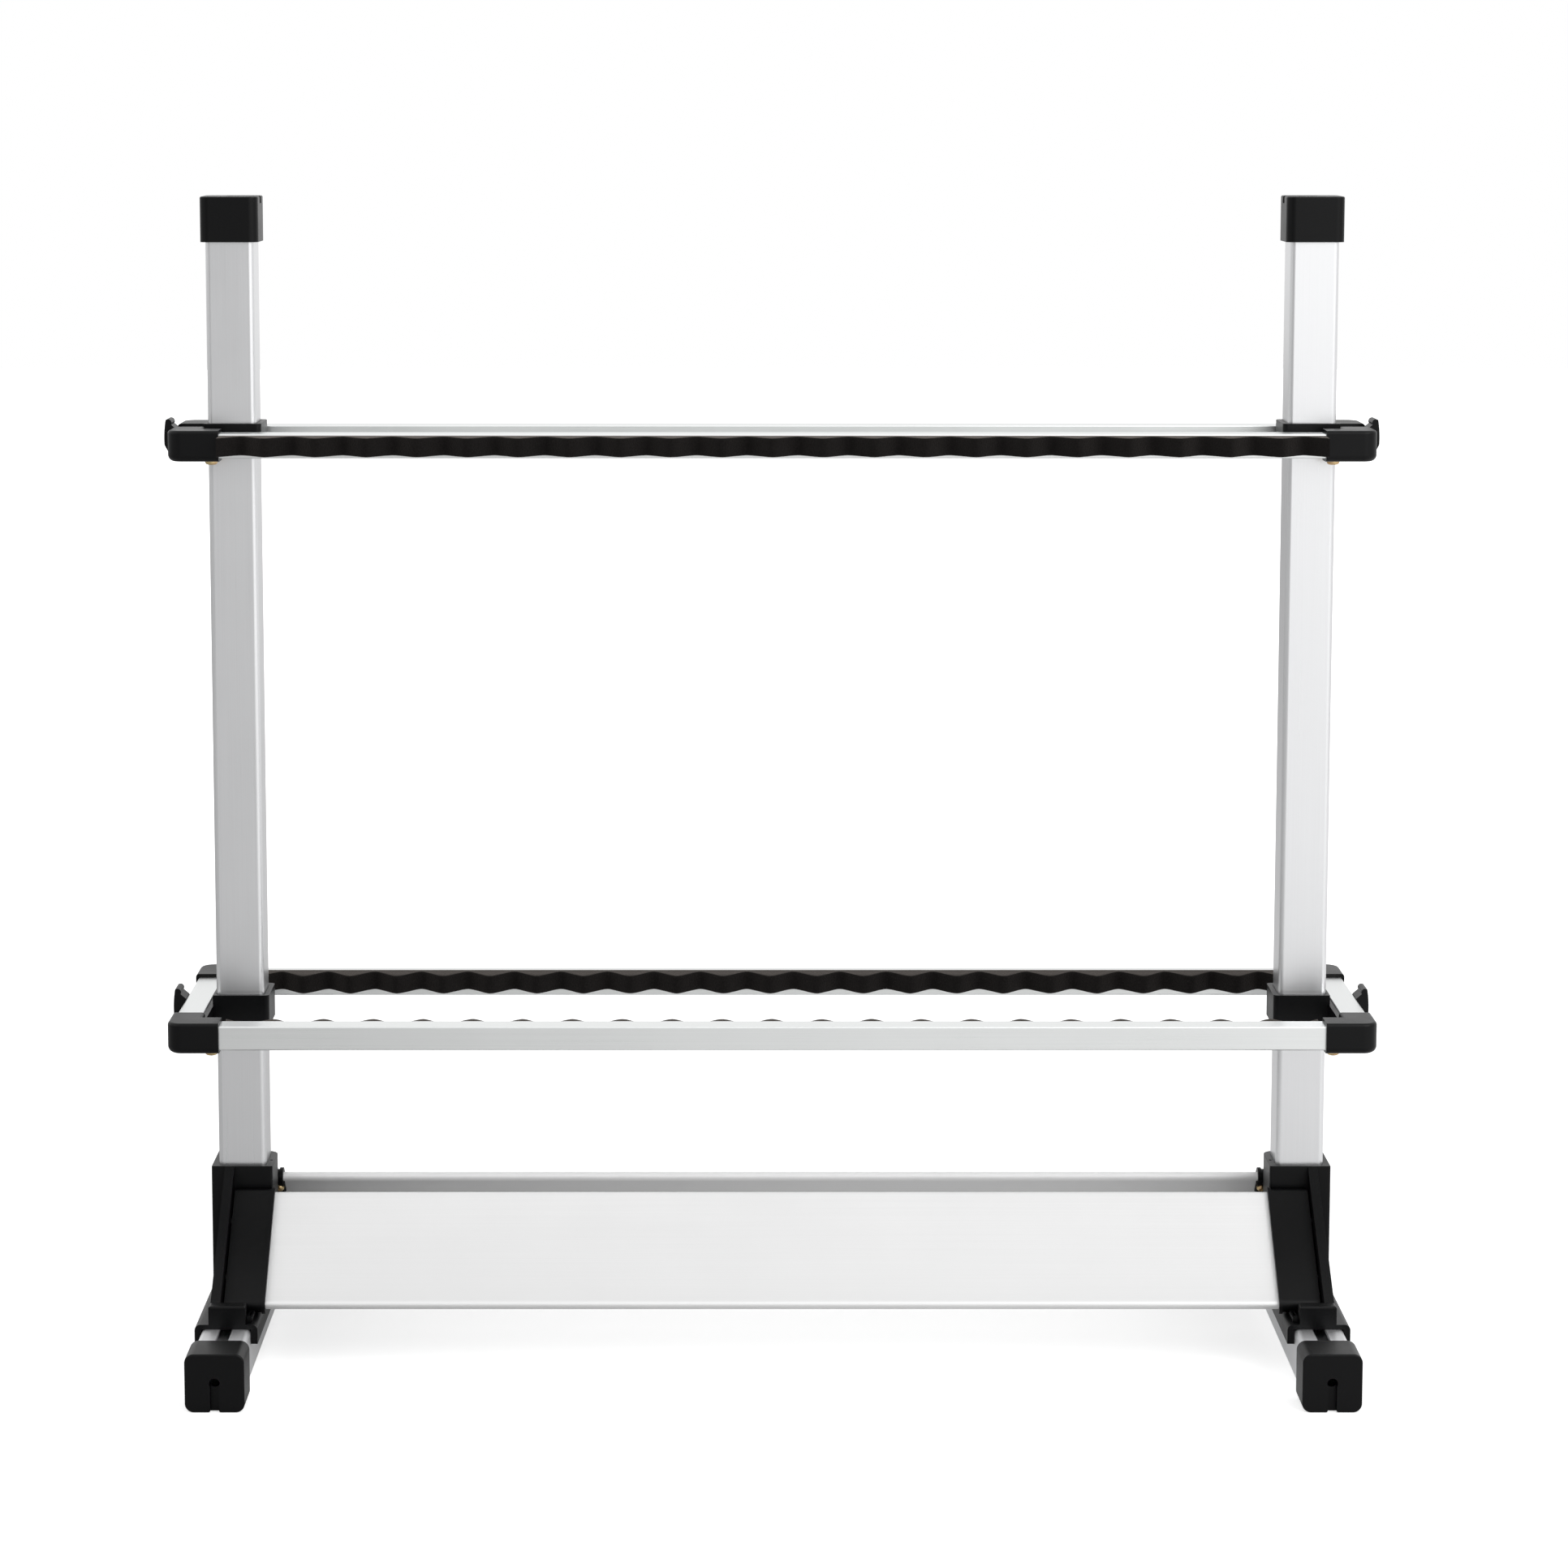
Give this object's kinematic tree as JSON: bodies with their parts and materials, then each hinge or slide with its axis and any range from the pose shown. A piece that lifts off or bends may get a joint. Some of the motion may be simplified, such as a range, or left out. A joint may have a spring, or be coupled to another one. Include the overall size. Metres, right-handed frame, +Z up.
{
  "type": "fishing rod rack",
  "caption": "Free-standing fishing rod rack: slotted aluminium posts on cross feet, clamped rail rings lined with notched foam, and tilted panels that the rod butts rest on.",
  "frame": {"origin": "on the floor, midway between the posts and midway between the front and back foot caps", "axes": "+X to the right along the rails, +Y from front to back, +Z up the posts"},
  "size_m": [0.756, 0.344, 0.722],
  "materials": {
    "post_aluminium": "satin anodised",
    "rail_aluminium": "satin anodised",
    "panel_aluminium": "brushed, matt anodised",
    "black_plastic": "satin moulded",
    "foam": "matt closed-cell foam",
    "yellow_zinc": "yellow zinc plated",
    "steel": "zinc plated"
  },
  "bodies": {
    "stand": {"left_post": "post_aluminium", "right_post": "post_aluminium", "left_post_cap": "black_plastic", "right_post_cap": "black_plastic", "left_foot": "post_aluminium", "right_foot": "post_aluminium", "front_left_foot_cap": "black_plastic", "front_right_foot_cap": "black_plastic", "back_left_foot_cap": "black_plastic", "back_right_foot_cap": "black_plastic", "left_base_bracket": "black_plastic", "right_base_bracket": "black_plastic", "front_panel": "panel_aluminium", "back_panel": "panel_aluminium", "front_left_panel_cap": "black_plastic", "front_right_panel_cap": "black_plastic", "back_left_panel_cap": "black_plastic", "back_right_panel_cap": "black_plastic", "panel_screws": "yellow_zinc", "foot_bolts": "steel", "foot_nuts": "steel", "post_screws": "yellow_zinc", "post_slot_nuts": "steel"},
    "lower_ring": {"lower_front_rail": "rail_aluminium", "lower_back_rail": "rail_aluminium", "lower_left_rail": "rail_aluminium", "lower_right_rail": "rail_aluminium", "lower_front_left_corner": "black_plastic", "lower_front_right_corner": "black_plastic", "lower_back_left_corner": "black_plastic", "lower_back_right_corner": "black_plastic", "lower_front_foam": "foam", "lower_back_foam": "foam", "lower_left_collar": "black_plastic", "lower_right_collar": "black_plastic", "lower_left_hook": "black_plastic", "lower_right_hook": "black_plastic", "lower_corner_screws": "yellow_zinc", "lower_clamp_screws": "yellow_zinc", "lower_slot_nuts": "steel"},
    "upper_ring": {"upper_front_rail": "rail_aluminium", "upper_back_rail": "rail_aluminium", "upper_left_rail": "rail_aluminium", "upper_right_rail": "rail_aluminium", "upper_front_left_corner": "black_plastic", "upper_front_right_corner": "black_plastic", "upper_back_left_corner": "black_plastic", "upper_back_right_corner": "black_plastic", "upper_front_foam": "foam", "upper_back_foam": "foam", "upper_left_collar": "black_plastic", "upper_right_collar": "black_plastic", "upper_left_hook": "black_plastic", "upper_right_hook": "black_plastic", "upper_corner_screws": "yellow_zinc", "upper_clamp_screws": "yellow_zinc", "upper_slot_nuts": "steel"}
  },
  "joints": [
    {"name": "lower_ring_height", "type": "slide", "parent": "stand", "child": "lower_ring", "axis": [0, 0, 1], "range_m": [-0.085, 0.12]},
    {"name": "upper_ring_height", "type": "slide", "parent": "stand", "child": "upper_ring", "axis": [0, 0, 1], "range_m": [-0.15, 0.1]}
  ]
}
